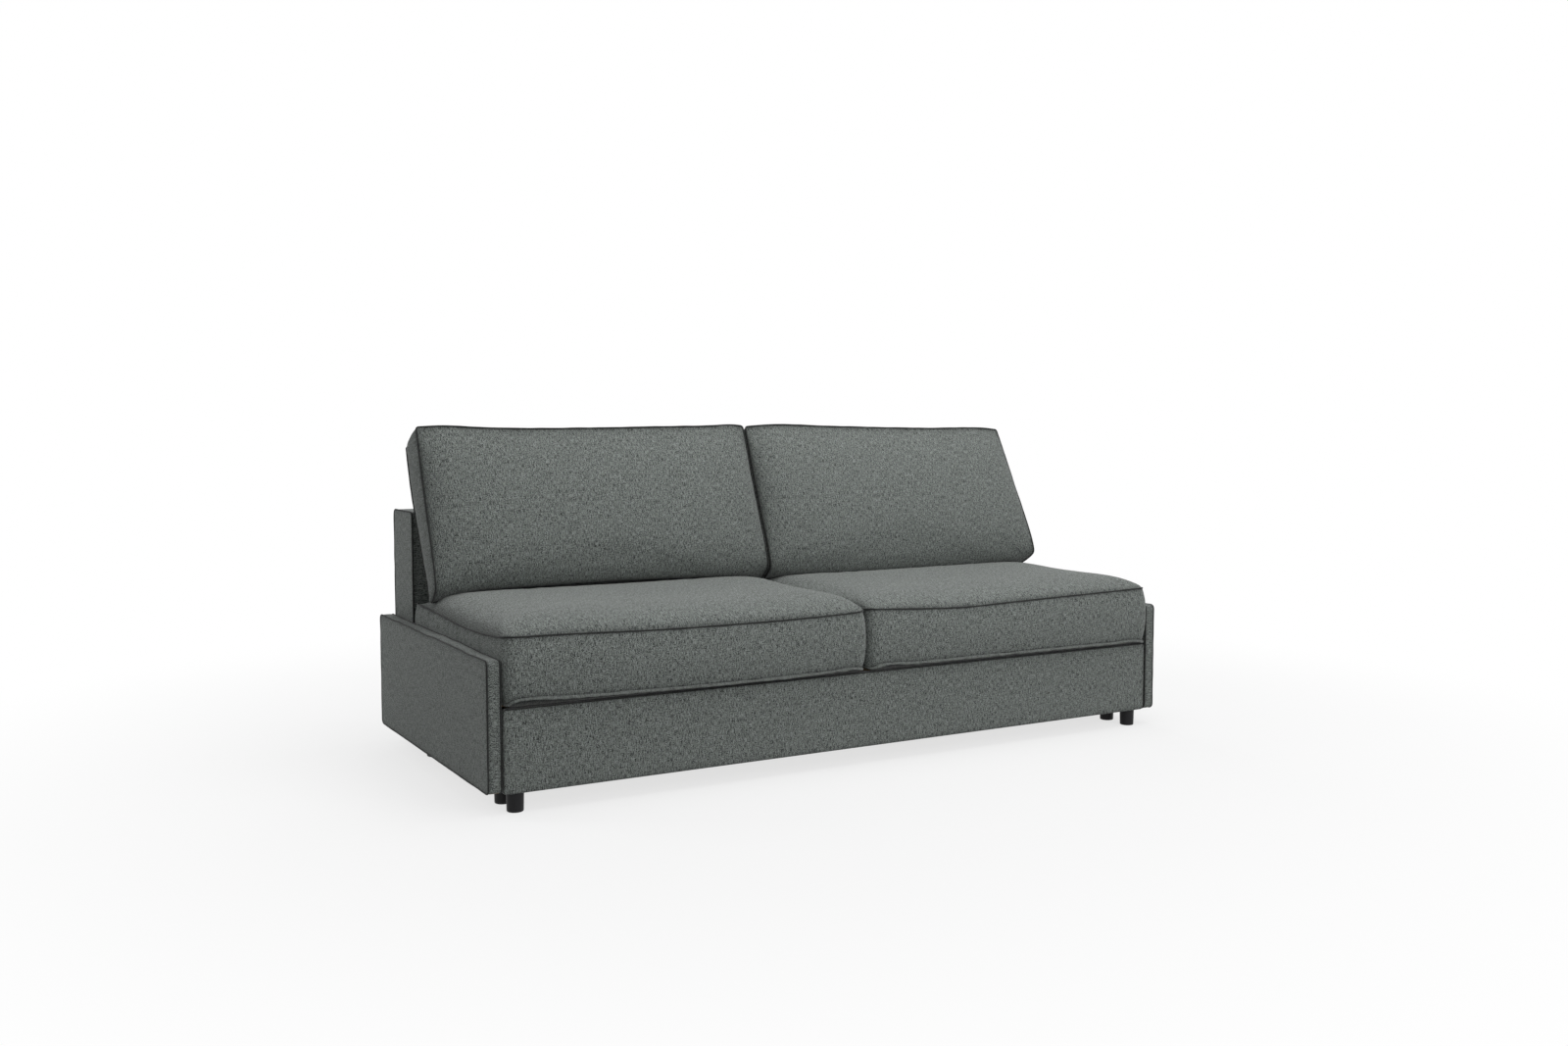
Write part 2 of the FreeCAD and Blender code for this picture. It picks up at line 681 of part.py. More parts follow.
def build():
    """Make and write every sub-part."""
    os.makedirs("parts", exist_ok=True)

    for name, shape in zip(("cover", "wadding", "board"), side_panel_layers()):
        save_pair("side_panel_" + name, shape)
    save_pair("side_rail", side_rail())
    save("side_panel_bolts", Part.makeCompound(both_sides(side_bolts())))
    save("rail_screws", Part.makeCompound(both_sides(rail_screws())))

    pull_places, fixed_places = slat_rows()
    fixed_top = fixed_slat_bottom + slat_thickness
    fixed_lines = [fixed_foot_y, (rear_rail_front + rear_rail_rear) / 2]
    fixed_holes = slat_screws(fixed_places, fixed_lines, fixed_top, screw_gap)
    rail_holes = fixed_holes + both_sides(rail_screws(screw_gap))
    save("fixed_front_rail", cross_rail(front_cross_front, front_cross_rear, rail_holes))
    rear_holes = rail_holes + back_bolts(screw_gap)
    save("fixed_rear_rail", cross_rail(rear_rail_front, rear_rail_rear, rear_holes))
    fixed = slats(fixed_places, front_cross_front, rear_rail_rear, fixed_slat_bottom, fixed_holes)
    save("fixed_slats", fixed)
    fixed_screws = slat_screws(fixed_places, fixed_lines, fixed_top)
    save("fixed_slat_screws", Part.makeCompound(fixed_screws))

    half_block = block_width / 2
    front_span = [fixed_foot_y - half_block, fixed_foot_y + half_block]
    save_pair("fixed_front_block", corner_block(*front_span, fixed_foot_y))
    rear_span = [rear_foot_y - half_block, rear_rail_rear]
    save_pair("rear_block", corner_block(*rear_span, rear_foot_y))
    save("centre_block", centre_block())
    save_pair("fixed_front_foot", foot(foot_x, fixed_foot_y, rail_bottom))
    save_pair("rear_foot", foot(foot_x, rear_foot_y, rail_bottom))
    save("centre_foot", foot(0, rear_rail_rear - half_block, rail_bottom))
    save_pair("runner", runner())

    for name, shape in zip(("cover", "wadding", "board"), front_panel_layers()):
        save("front_panel_" + name, shape)
    pull_lines = [unit_front + rail_thickness / 2, roller_y]
    pull_holes = slat_screws(pull_places, pull_lines, pull_slat_top, screw_gap)
    save("front_slat_rail", front_rail(pull_holes + front_rail_screws(screw_gap)))
    save("rear_batten", rear_batten(pull_holes))
    save("pull_slats", slats(pull_places, unit_front, pull_slat_rear, pull_slat_bottom, pull_holes))
    pull_screws = slat_screws(pull_places, pull_lines, pull_slat_top)
    save("pull_slat_screws", Part.makeCompound(pull_screws))
    save("front_rail_screws", Part.makeCompound(front_rail_screws()))
    save_pair("front_block", front_block())
    save_pair("front_foot", foot(foot_x, front_foot_y, ground_gap))
    save_pair("roller_bracket", roller_bracket())
    save_pair("roller", roller())

    for name, shape in back_boards().items():
        save(name, shape)
    back_cover, back_padding = back_upholstery()
    save("back_frame_cover", back_cover)
    save("back_frame_padding", back_padding)
    save("back_frame_bolts", Part.makeCompound(back_bolts()))

    seat_low = seat_cushion_centre_gap / 2
    save_cushion("seat_cushion", seat_section, seat_low, inner_x - seat_cushion_side_gap)
    back_low = back_cushion_centre_gap / 2
    save_cushion("back_cushion", back_section, back_low, inner_x - back_cushion_side_gap)

    print("Pull-out travel to the front stop: %.1f mm" % (pull_travel + runner_stop_gap))


build()
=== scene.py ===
import bpy
import math
import numpy as np
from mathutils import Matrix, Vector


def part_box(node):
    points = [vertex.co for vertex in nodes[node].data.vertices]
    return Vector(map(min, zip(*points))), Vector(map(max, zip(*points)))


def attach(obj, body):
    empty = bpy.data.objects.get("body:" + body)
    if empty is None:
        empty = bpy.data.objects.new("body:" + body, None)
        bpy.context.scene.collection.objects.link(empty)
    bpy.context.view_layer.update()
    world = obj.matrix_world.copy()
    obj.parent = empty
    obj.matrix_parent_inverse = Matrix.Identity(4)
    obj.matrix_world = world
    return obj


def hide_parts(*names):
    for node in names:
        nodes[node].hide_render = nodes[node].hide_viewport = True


# Looks of the armless pull-out sofa, in metres, in the same frame as its construction:
# +X is the viewer's right, the front looks along -Y, +Z is up and the floor is at zero.

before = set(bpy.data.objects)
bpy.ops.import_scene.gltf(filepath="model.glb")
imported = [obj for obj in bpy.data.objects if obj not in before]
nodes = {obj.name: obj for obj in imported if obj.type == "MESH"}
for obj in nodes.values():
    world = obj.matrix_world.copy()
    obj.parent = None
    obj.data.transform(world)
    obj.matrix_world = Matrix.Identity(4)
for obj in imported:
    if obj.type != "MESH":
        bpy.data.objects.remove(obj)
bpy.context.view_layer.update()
SIDES = (("left", -1.0), ("right", 1.0))

# Camera of the photograph
CAMERA_PLACE = (-1.9599, -3.3797, 0.850)
CAMERA_TILT = 90.0 - 3.862
CAMERA_TURN = -30.27
CAMERA_LENS = 32.516
CAMERA_SENSOR = 36.0

# Lamps: name, place, target, size, power
LAMPS = (
    ("top_light", (0.4, -0.6, 3.2), (0.0, 0.0, 0.4), (3.4, 2.6), 52.0),
    ("front_light", (1.2, -4.2, 2.1), (0.0, 0.0, 0.5), (3.0, 2.2), 62.0),
    ("side_light", (-2.7, 1.3, 1.9), (-0.95, 0.3, 0.6), (1.0, 1.0), 11.0),
    ("rear_light", (1.0, 4.4, 2.0), (0.0, 0.3, 0.4), (3.0, 2.0), 55.0),
)
WORLD_COLOR = (0.99, 0.99, 1.0, 1.0)
WORLD_STRENGTH = 0.27
WHITE = (1.0, 1.0, 1.0, 1.0)

# Floor: its tone for the lamps and for the camera, and how it fades to white with distance
FLOOR_SIZE = 80.0
FLOOR_BOUNCE = (0.45, 0.45, 0.45, 1.0)
FLOOR_SEEN = (0.88, 0.88, 0.88, 1.0)
FLOOR_ROUGHNESS = 0.9
FLOOR_WHITE = 0.72
FLOOR_FADE = (0.9, 2.6)

# Cloth simulation of the cushion covers, and how much of its result is kept
CLOTH_FRAMES = 16
CLOTH_QUALITY = 5
CLOTH_MASS = 0.3
CLOTH_TENSION = 15.0
CLOTH_SHEAR = 8.0
CLOTH_BENDING = 0.3
CLOTH_PRESSURE = 4.0
CLOTH_SHRINK = -0.014
CLOTH_BLUR = 60
CLOTH_BROAD = 0.25
CLOTH_CAP = 0.022
CLOTH_SHARE = 0.55

# Mesh spacing, and the spread of wavelengths in ripples
CELL = 0.011
NEAR_SEAM = (0.0, 0.003, 0.007, 0.012, 0.019, 0.028)
NEAR_SEAM_SHARE = 0.3
RIPPLE_SPREAD = (0.6, 1.7)

# Sewn cords: sides of the section, change of thickness and its length, sink into the seam,
# seeds; then how far the painted shade beside a seam reaches
CORD_SIDES = 8
CORD_CHANGE = 0.10
CORD_CHANGE_LENGTH = 0.05
SEAM_SINK = 0.35
CORD_SEEDS = {"seat_top": 3, "seat_low": 4, "back_front": 5, "back_rear": 6, "side_panel": 30,
              "back_frame": 40}
SEAM_SHADE_REACH = 0.006

# Section of a boxing strip that bulges between its seams
BAND_FLATNESS = 2.4
BAND_ROUNDNESS = 0.8

# Seat cushions. The crown is the height of the top above its seam, and a rise is the distance
# over which it grows from one side, and its power. The welt is the cord of the low seam; its
# draw is how far it is taken in at the outer and at the inner end.
SEAT_STRIP = 0.145
SEAT_SEAM_RADIUS = 0.0025
SEAT_WELT_RADIUS = 0.0036
SEAT_WELT_REACH = 1.5
SEAT_WELT_DRAW = (0.004, 0.007)
SEAT_CORNER = 0.030
SEAT_CROWN = {"left": 0.055, "right": 0.048}
SEAT_END_RISE = (0.017, 0.58)
SEAT_FRONT_RISE = (0.042, 0.66)
SEAT_FRONT_END_RISE = (0.052, 0.95)
SEAT_REAR_RISE = (0.130, 1.9)
SEAT_END_BLEND = 0.12
SEAT_SEAM_BLEND = 0.004
SEAT_FRONT_BULGE = 0.010
SEAT_REAR_BULGE = 0.004
SEAT_SIDE_BULGE = 0.006
SEAT_INNER_BULGE = 0.0035
SEAT_END_INSET = 0.006
SEAT_UNDERSIDE = 0.020
SEAT_UNDERSIDE_POWER = 1.8
SEAT_UNDER_SHADE = 1.3
# Heights of the top and low seams above the slats: place along the edge, height
SEAT_TOP_FRONT = {
    "left": ((-0.952, 0.1575), (-0.80, 0.1550), (-0.60, 0.149), (-0.38, 0.147), (-0.15, 0.149),
             (0.0, 0.154)),
    "right": ((0.0, 0.158), (0.06, 0.155), (0.164, 0.1494), (0.299, 0.1444), (0.44, 0.1474),
              (0.615, 0.1514), (0.758, 0.1544), (0.952, 0.159)),
}
SEAT_TOP_SIDE = (
    (-0.441, 0.1575), (-0.40, 0.1540), (-0.249, 0.1458), (-0.148, 0.1455), (0.03, 0.153),
    (0.26, 0.160))
SEAT_TOP_REAR = 0.150
SEAT_LOW_FRONT = {
    "left": ((-0.952, 0.004), (-0.942, 0.012), (-0.924, 0.0200), (-0.895, 0.0210),
             (-0.802, 0.0168), (-0.60, 0.0125), (-0.381, 0.0100), (-0.12, 0.012),
             (-0.03, 0.0145), (-0.007, 0.0120)),
    "right": ((0.0, 0.008), (0.02, 0.0135), (0.15, 0.0135), (0.475, 0.013), (0.80, 0.0115),
              (0.93, 0.009), (0.952, 0.004)),
}
SEAT_LOW_SIDE = ((-0.443, 0.004), (-0.425, 0.010), (-0.38, 0.014), (0.26, 0.014))

# Back cushions. The lean is the angle of the front plane from upright, a rise is as above, and
# the pinch thins the cushion towards both ends.
BACK_SEAM_RADIUS = 0.0024
BACK_CORNER = 0.005
BACK_LEAN = math.radians(20.5)
BACK_REAR_CROWN = 0.030
BACK_REAR_POWER = 0.8
BACK_SIDE_BULGE = 0.005
BACK_INNER_BULGE = 0.0035
BACK_HEIGHT = 0.442
BACK_THICKNESS = 0.108
BACK_FOOT = (0.053, 0.4387)
BACK_REST_SHEAR = 0.113
BACK_END_RISE = (0.030, 0.75)
BACK_MIDDLE_RISE = (0.060, 1.0)
BACK_PINCH_REACH = 0.11
BACK_PINCH_DROP = 0.015
BACK_PINCH_POWER = 4
BACK_EDGE_POWER = 3
# Front seam at the ends, and front face in the middle:
# place on the face, depth behind the front plane, height
BACK_FRONT_END = (
    (0.0, 0.049, 0.004), (0.012, 0.038, 0.0070), (0.025, 0.0245, 0.0110), (0.038, 0.0105, 0.0165),
    (0.048, 0.0, 0.0215), (0.060, -0.0045, 0.032), (0.080, -0.007, 0.053), (0.110, -0.008, 0.0845),
    (0.160, -0.006, 0.138), (0.230, -0.002, 0.213), (0.300, 0.0, 0.289), (0.442, 0.0, 0.442))
BACK_FRONT_MIDDLE = (
    (0.0, 0.049, 0.0105), (0.012, 0.041, 0.0085), (0.025, 0.030, 0.0055), (0.038, 0.019, 0.0045),
    (0.048, 0.011, 0.008), (0.060, 0.002, 0.0165), (0.080, -0.010, 0.033), (0.110, -0.021, 0.061),
    (0.160, -0.031, 0.113), (0.230, -0.037, 0.190), (0.300, -0.036, 0.263), (0.360, -0.028, 0.333),
    (0.400, -0.019, 0.381), (0.425, -0.009, 0.414), (0.442, 0.0, 0.442))
# Depth of the rear seam at the ends, by place on the face
BACK_REAR_END = (
    (0.0, 0.059), (0.050, 0.0634), (0.103, 0.0737), (0.167, 0.0842), (0.235, 0.0959),
    (0.308, 0.1055), (0.390, 0.106), (0.442, 0.106))
# Rise or fall of the top and low edges along the cushion
BACK_TOP_EDGE = {
    "left": ((-0.949, -0.003), (-0.88, 0.0), (-0.80, -0.004), (-0.70, -0.007), (-0.48, -0.006),
             (-0.246, -0.002), (-0.10, 0.001), (-0.045, 0.004), (-0.005, 0.0)),
    "right": ((0.005, -0.002), (0.068, 0.003), (0.30, -0.001), (0.664, -0.007), (0.895, -0.005),
              (0.949, -0.008)),
}
BACK_LOW_EDGE = {
    "left": ((-0.949, -0.013), (-0.844, 0.002), (-0.657, 0.008), (-0.45, 0.010),
             (-0.226, 0.006), (-0.04, -0.002)),
    "right": ((0.005, -0.003), (0.243, -0.010), (0.557, -0.011), (0.905, -0.007)),
}
# Outer end of each cushion: reach of the low corner, set-back and draw of the top corner, how
# they grow, share of the draw left at the foot, draw of the underside; then the painted shade
# towards the ends and the low edge
BACK_CORNER_WIDTH = 0.30
BACK_REACH_POWER = 1.5
BACK_SET_BACK_POWER = 3
BACK_CORNER_REACH = {"left": 0.0, "right": 0.014}
BACK_CORNER_SET_BACK = {"left": 0.0, "right": 0.010}
BACK_CORNER_DRAW = {"left": 0.0, "right": 0.023}
BACK_FOOT_DRAW = 0.08
BACK_DRAW_POWER = 1.6
BACK_LOW_DRAW = {"left": 0.0, "right": 0.022}
BACK_LOW_DRAW_HEIGHT = 0.046
BACK_SHADE_REACH = 0.060
BACK_END_SHADE = 0.30
BACK_LOW_SHADE = 0.60

# Side panels, front panel and back frame; cells are the mesh spacing on faces and edges
PUFF_RISE = (0.012, 0.8)
PANEL_PIPING = 0.0021
PANEL_PIPING_LEAN = 0.8
PANEL_PUFF = 0.0020
PANEL_CORNER = 0.013
PANEL_CELLS = (0.014, 0.008)
PANEL_EDGE_BULGE = 0.0012
PANEL_LIFT = {"left": 0.004, "right": 0.0}
PANEL_WAVE = 0.0012
PANEL_WAVE_LENGTH = 0.16
PANEL_WAVE_HEIGHT = 0.3
PANEL_WAVE_SEED = 21
FRONT_CORNER = 0.008
FRONT_CELLS = (0.016, 0.006)
FRONT_EDGE_BULGE = 0.0015
FRONT_TOP_SHADE = 1.1
FRAME_CORNER = 0.014
FRAME_CELLS = (0.014, 0.030)
FRAME_EDGE_BULGE = 0.003

# Fabric: tint, cord and welt tints as shares of it (the cord's dark tint is painted shade of the
# seam's crease), contrast of cloth and cords, painted shade in the creases beside the seams, light
# side and range of the speckle
FABRIC = (0.151, 0.163, 0.151)
CORD_SHADE_TINT = 0.13
WELT_TINT = 0.95
CLOTH_CONTRAST = 0.90
CORD_CONTRAST = 0.5
PAINTED_SHADE_DARK = 0.45
FABRIC_LIGHT = 1.35
FABRIC_RANGE = 0.72
WEAVE_PITCH = 0.0011
# Noises of the weave: scale across and along the cloth, detail, roughness, share of the tone
WEAVE_NOISES = {
    "speck": ((560.0, 400.0, 1.0), 1.0, 0.6, 4.1),
    "thread": ((600.0, 80.0, 1.0), 2.0, 0.75, 4.4),
    "slub": ((380.0, 20.0, 1.0), 2.0, 0.6, 1.2),
    "weft": ((60.0, 460.0, 1.0), 2.0, 0.6, 1.0),
    "nap": ((11.0, 8.0, 1.0), 3.0, 0.55, 0.12),
}
# Noise between a greener and a bluer tint; parts of weave and slubs in the relief, its strength
# and depth
HUE_SCALE = (90.0, 60.0, 1.0)
HUE_GREEN = (0.965, 1.0, 0.975, 1.0)
HUE_BLUE = (1.0, 1.0, 1.055, 1.0)
WEAVE_HEIGHT = 0.45
SLUB_HEIGHT = 0.8
FABRIC_RELIEF = (0.55, 0.0006)

# Wood: pale tone, dark tone and share of the spots
PINE = ((0.60, 0.42, 0.22), (0.42, 0.26, 0.12), 0.3)
SLAT = ((0.66, 0.50, 0.30), (0.50, 0.34, 0.17), 0.5)
BOARD = ((0.50, 0.38, 0.24), (0.38, 0.27, 0.16), 0.2)
# Noises of the wood: scale across and along the grain, detail, roughness, share of the tone
WOOD_NOISES = {
    "rings": (60.0, 3.0, 3.0, 0.55, 0.65),
    "fine": (700.0, 14.0, 2.0, 0.6, 0.35),
}
SPOT_SCALE = 7.0
WOOD_DARK_PLACE = 0.32
WOOD_PALE_PLACE = 0.68
WOOD_RELIEF = (0.3, 0.0005)

# Moulded and plated surfaces: detail and roughness of the fine noise, scale of the broad one
PLAIN_NOISE = (3.0, 0.6)
PLAIN_RELIEF_DEPTH = 0.0003
BROAD_SCALE = 25.0
ROUGHNESS_SPREAD = 0.08


def smooth_steps(places, points):
    """Smooth curve through (place, value) points, evaluated at places."""
    xs = np.array([p[0] for p in points])
    ys = np.array([p[1] for p in points])
    slopes = np.gradient(ys, xs)
    at = np.clip(places, xs[0], xs[-1])
    k = np.clip(np.searchsorted(xs, at) - 1, 0, len(xs) - 2)
    h = xs[k + 1] - xs[k]
    t = (at - xs[k]) / h
    a, b = ys[k], ys[k + 1]
    ma, mb = slopes[k] * h, slopes[k + 1] * h
    return ((2 * t**3 - 3 * t**2 + 1) * a + (t**3 - 2 * t**2 + t) * ma
            + (3 * t**2 - 2 * t**3) * b + (t**3 - t**2) * mb)


def rising(distance, scale, power):
    """Share of a full crown at a distance from its seam."""
    return 1.0 - np.exp(-(np.maximum(distance, 0.0) / scale) ** power)


def unit(vectors):
    """Vectors scaled to length one."""
    return vectors / np.linalg.norm(vectors, axis=1)[:, None]


def loop_ahead(loop):
    """Direction of travel at every point of a closed loop."""
    return np.roll(loop, -1, 0) - np.roll(loop, 1, 0)


def ripples(points, size, seed, count=14):
    """Smooth pseudo-random waves of about one unit, the same every run."""
    rng = np.random.default_rng(seed)
    total = np.zeros(len(points))
    for _ in range(count):
        direction = rng.normal(size=3)
        direction /= np.linalg.norm(direction)
        wave = 2 * math.pi / (size * rng.uniform(*RIPPLE_SPREAD))
        total += np.sin(points @ direction * wave + rng.uniform(0, 2 * math.pi))
    return total / math.sqrt(count / 2)


def stations(length, cell):
    """Stations along a side, closer together near both ends."""
    near = [s for s in NEAR_SEAM if s < NEAR_SEAM_SHARE * length]
    inner = length - 2 * near[-1]
    count = max(1, round(inner / cell))
    middle = [near[-1] + inner * k / count for k in range(1, count)]
    return np.array(near + middle + [length - s for s in reversed(near)])


def side_line(length, radius, places):
    """One side of a rounded rectangle, from the middle of one corner to the next."""
    quarter = radius * math.pi / 4
    total = length - 2 * radius + 2 * quarter
    s = places / length * total
    start = math.pi / 4 - np.minimum(s, quarter) / radius
    end = math.pi / 4 - np.minimum(total - s, quarter) / radius
    along = radius - radius * np.sin(start) + np.clip(s - quarter, 0, length - 2 * radius)
    along = np.where(s > total - quarter, length - radius + radius * np.sin(end), along)
    inset = radius - radius * np.cos(np.where(s < total / 2, start, end))
    return along, inset


class Form:
    """Closed upholstered form: two faces joined by a boxing strip, before it is shaped.

    xy is each point's place on the rounded outline, place the same on the plain rectangle.
    level runs from the low seam (0) to the high seam (1).
    face is 1 on the high face, -1 on the low face and 0 on the strip.
    out points away from the middle on both seams and on the strip.
    """

    def __init__(self, width, height, thickness, radius, cell=CELL, strip_cell=CELL):
        self.width, self.height, self.thickness = width, height, thickness
        xs, ys = stations(width, cell), stations(height, cell)
        levels = stations(thickness, strip_cell) / thickness
        nx, ny = len(xs), len(ys)
        flat = self.patch(xs, ys, radius)
        ring = [(i, 0) for i in range(nx - 1)] + [(nx - 1, j) for j in range(ny - 1)]
        ring += [(i, ny - 1) for i in range(nx - 1, 0, -1)]
        ring += [(0, j) for j in range(ny - 1, 0, -1)]
        top = np.arange(nx * ny).reshape(nx, ny)
        low = top + nx * ny
        rows = [np.array([low[i, j] for i, j in ring])]
        count = 2 * nx * ny
        for _ in levels[1:-1]:
            rows.append(np.arange(count, count + len(ring)))
            count += len(ring)
        rows.append(np.array([top[i, j] for i, j in ring]))
        rim = np.array([flat[i, j] for i, j in ring])
        ahead = loop_ahead(rim)
        out = unit(np.stack([ahead[:, 1], -ahead[:, 0]], 1))
        steps = np.stack(np.meshgrid(xs, ys, indexing="ij"), -1)
        self.xy = np.zeros((count, 2))
        self.place = np.zeros((count, 2))
        self.level = np.zeros(count)
        self.face = np.zeros(count)
        self.out = np.zeros((count, 2))
        for grid, level, face in ((top, 1.0, 1.0), (low, 0.0, -1.0)):
            self.xy[grid.ravel()] = flat.reshape(-1, 2)
            self.place[grid.ravel()] = steps.reshape(-1, 2)
            self.level[grid.ravel()] = level
            self.face[grid.ravel()] = face
        for row, level in zip(rows, levels):
            self.out[row] = out
            self.level[row] = level
            if 0.0 < level < 1.0:
                self.xy[row] = rim
                self.place[row] = [steps[i, j] for i, j in ring]
        faces = []
        for grid, flip in ((top, False), (low, True)):
            a, b = grid[:-1, :-1].ravel(), grid[1:, :-1].ravel()
            c, d = grid[1:, 1:].ravel(), grid[:-1, 1:].ravel()
            faces.append(np.stack([a, d, c, b] if flip else [a, b, c, d], 1))
        for here, above in zip(rows[:-1], rows[1:]):
            faces.append(np.stack([here, np.roll(here, -1), np.roll(above, -1), above], 1))
        self.faces = np.concatenate(faces)
        self.rows = rows
        self.grids = top, low
        edge = np.min(self.edges(), axis=0)
        strip = np.minimum(self.level, 1 - self.level) * thickness
        self.seam_distance = np.where(self.face == 0, strip, np.maximum(edge, 0.0))

    @staticmethod
    def patch(xs, ys, radius):
        """Flat rounded rectangle filled between its four sides."""
        width, height = xs[-1], ys[-1]
        u, v = (xs / width)[:, None, None], (ys / height)[None, :, None]
        ax, ix = side_line(width, radius, xs)
        ay, iy = side_line(height, radius, ys)
        front = np.stack([ax, ix], 1)[:, None]
        rear = np.stack([ax, height - ix], 1)[:, None]
        left, right = np.stack([iy, ay], 1)[None], np.stack([width - iy, ay], 1)[None]
        corner = ((1 - u) * (1 - v) * front[0] + u * (1 - v) * front[-1]
                  + (1 - u) * v * rear[0] + u * v * rear[-1])
        return (1 - v) * front + v * rear + (1 - u) * left + u * right - corner

    def edges(self):
        """Distances of every point from the four sides: low x, high x, low y, high y."""
        x, y = self.place[:, 0], self.place[:, 1]
        return x, self.width - x, y, self.height - y


def travelled(points, axis):
    """Length travelled along one axis of a grid of points, from its first line."""
    total = np.zeros(points.shape[:2])
    steps = np.cumsum(np.linalg.norm(np.diff(points, axis=axis), axis=2), axis=axis)
    if axis == 0:
        total[1:] = steps
    else:
        total[:, 1:] = steps
    return total


def cloth_layout(form, points):
    """Texture coordinates in metres, measured along the shaped cloth, for every face corner."""
    corners = []
    for grid, flip in zip(form.grids, (False, True)):
        across = travelled(points[grid], 0)
        across -= across[grid.shape[0] // 2]
        flat = np.stack([across, travelled(points[grid], 1)], -1)
        quad = [flat[:-1, :-1], flat[1:, :-1], flat[1:, 1:], flat[:-1, 1:]]
        if flip:
            quad = [quad[0], quad[3], quad[2], quad[1]]
        corners.append(np.stack(quad, 2).reshape(-1, 4, 2))
    rows = np.stack([points[row] for row in form.rows])
    closed = np.concatenate([rows, rows[:, :1]], 1)
    flat = np.stack([travelled(closed, 1), travelled(closed, 0)], -1)
    quad = [flat[:-1, :-1], flat[:-1, 1:], flat[1:, 1:], flat[1:, :-1]]
    corners.append(np.stack(quad, 2).reshape(-1, 4, 2))
    return np.concatenate(corners)


def simulated(form, points, held):
    """Points of the cover after its cloth simulation under inner pressure."""
    scene = bpy.context.scene
    mesh = bpy.data.meshes.new("settling")
    mesh.from_pydata(points.tolist(), [], form.faces.tolist())
    dummy = bpy.data.objects.new("settling", mesh)
    scene.collection.objects.link(dummy)
    group = dummy.vertex_groups.new(name="held")
    for index, weight in enumerate(held.tolist()):
        if weight > 0:
            group.add([index], weight, "REPLACE")
    cloth_modifier = dummy.modifiers.new("settle", "CLOTH")
    settings = cloth_modifier.settings
    settings.quality = CLOTH_QUALITY
    settings.mass = CLOTH_MASS
    settings.tension_stiffness = settings.compression_stiffness = CLOTH_TENSION
    settings.shear_stiffness = CLOTH_SHEAR
    settings.bending_stiffness = CLOTH_BENDING
    settings.shrink_min = CLOTH_SHRINK
    settings.use_pressure = True
    settings.uniform_pressure_force = CLOTH_PRESSURE
    settings.vertex_group_mass = "held"
    settings.effector_weights.gravity = 0.0
    cloth_modifier.collision_settings.use_collision = False
    cloth_modifier.point_cache.frame_start = 1
    cloth_modifier.point_cache.frame_end = CLOTH_FRAMES
    for step in range(1, CLOTH_FRAMES + 1):
        scene.frame_set(step)
    shaped = dummy.evaluated_get(bpy.context.evaluated_depsgraph_get()).to_mesh()
    result = np.empty(len(points) * 3)
    shaped.vertices.foreach_get("co", result)
    scene.frame_set(1)
    bpy.data.objects.remove(dummy)
    bpy.data.meshes.remove(mesh)
    return result.reshape(-1, 3)


def settle(form, points, held):
    """Let the cover puff against its held seams, keeping mostly the small puckers."""
    moved = simulated(form, points, held) - points
    start = form.faces.ravel()
    end = np.roll(form.faces, -1, 1).ravel()
    count = len(points)
    number = np.bincount(start, minlength=count) + np.bincount(end, minlength=count)
    broad = moved.copy()
    for _ in range(CLOTH_BLUR):
        total = np.stack([np.bincount(start, broad[end, k], count)
                          + np.bincount(end, broad[start, k], count) for k in range(3)], 1)
        broad = 0.5 * broad + 0.5 * total / number[:, None]
    kept = moved - (1 - CLOTH_BROAD) * broad
    size = np.linalg.norm(kept, axis=1)[:, None]
    kept *= CLOTH_SHARE * CLOTH_CAP / (CLOTH_CAP + size)
    return points + kept * (1 - np.minimum(held, 1.0))[:, None]


def smooth_piece(name, points, faces, layout, material):
    """Smooth-shaded object, subdivided once, with texture coordinates along its cloth."""
    mesh = bpy.data.meshes.new(name)
    mesh.from_pydata(points.tolist(), [], faces.tolist())
    layer = mesh.uv_layers.new(name="cloth")
    layer.data.foreach_set("uv", layout.astype(np.float32).ravel())
    mesh.polygons.foreach_set("use_smooth", np.ones(len(faces), bool))
    mesh.materials.append(material)
    piece = bpy.data.objects.new(name, mesh)
    bpy.context.scene.collection.objects.link(piece)
    smooth = piece.modifiers.new("smooth", "SUBSURF")
    smooth.levels = smooth.render_levels = 1
    return piece


def make_mesh(name, form, points, body, material, replaced, shade=0.0):
    """Piece from a form and its shaped points, with painted shade beside its seams; shade adds
    painted shade where little light falls.
    """
    piece = smooth_piece(name, points, form.faces, cloth_layout(form, points), material)
    # The point attribute holds painted shade: darker beside the seams, plus the shade given
    painted_shade = piece.data.attributes.new("painted_shade", "FLOAT", "POINT")
    painted_shade_amount = np.exp(-form.seam_distance / SEAM_SHADE_REACH) + shade
    painted_shade.data.foreach_set("value", painted_shade_amount.astype(np.float32))
    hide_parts(*replaced)
    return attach(piece, body)


